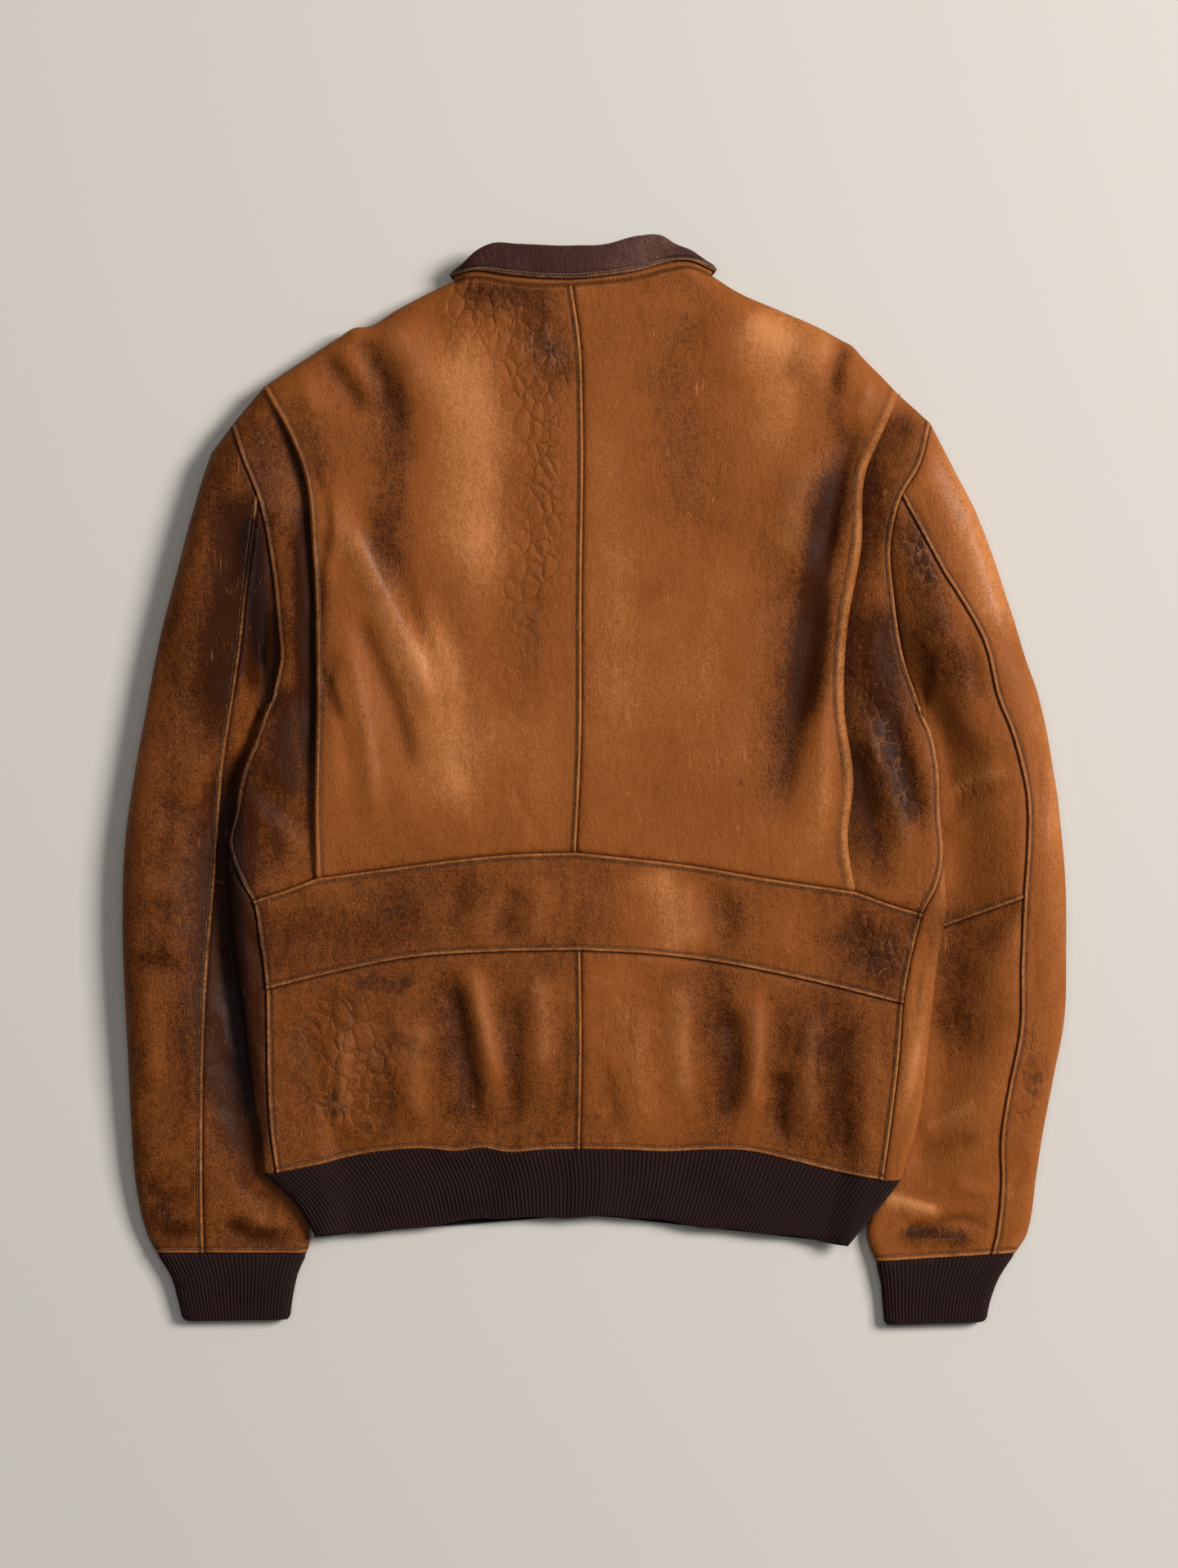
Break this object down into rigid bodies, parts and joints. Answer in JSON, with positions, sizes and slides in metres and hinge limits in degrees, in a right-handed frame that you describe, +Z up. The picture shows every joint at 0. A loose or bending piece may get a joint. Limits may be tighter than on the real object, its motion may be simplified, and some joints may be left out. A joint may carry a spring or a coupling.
{
  "type": "leather jacket",
  "caption": "Worn bomber-style leather jacket lying on its front, with knitted cuffs and hem, a turned-down collar, a back belt and pleats beside the armholes.",
  "frame": {"origin": "centre of the bounding box at the surface the jacket lies on", "axes": "+Z up out of the surface, with the back of the jacket facing up; +Y from the hem to the collar; +X to the right seen from above"},
  "size_m": [0.6532, 0.7544, 0.0299],
  "materials": {
    "leather": "worn cognac leather, satin with polished folds",
    "collar_leather": "dark brown leather, dull and grained",
    "knit": "ribbed wool knit, matt",
    "brass": "aged brass"
  },
  "bodies": {
    "jacket": {"back_left": "leather", "back_right": "leather", "gusset_left": "leather", "gusset_right": "leather", "waist_belt": "leather", "lower_back_left": "leather", "lower_back_right": "leather", "front_left": "leather", "front_right": "leather", "top_sleeve_left": "leather", "top_sleeve_right": "leather", "under_sleeve_upper_left": "leather", "under_sleeve_upper_right": "leather", "under_sleeve_lower_left": "leather", "under_sleeve_lower_right": "leather", "cuff_left": "knit", "cuff_right": "knit", "hem_band": "knit", "neck_stand": "leather", "collar_leaf": "collar_leather", "zip_chain": "brass", "zip_slider": "brass"},
    "zip_pull": {"zip_pull": "brass"}
  },
  "joints": [
    {"name": "zip_pull_hinge", "type": "hinge", "parent": "jacket", "child": "zip_pull", "pos_m": [-0.004, 0.2873, 0.0019], "axis": [1, 0, 0], "range_deg": [0, 180]}
  ]
}
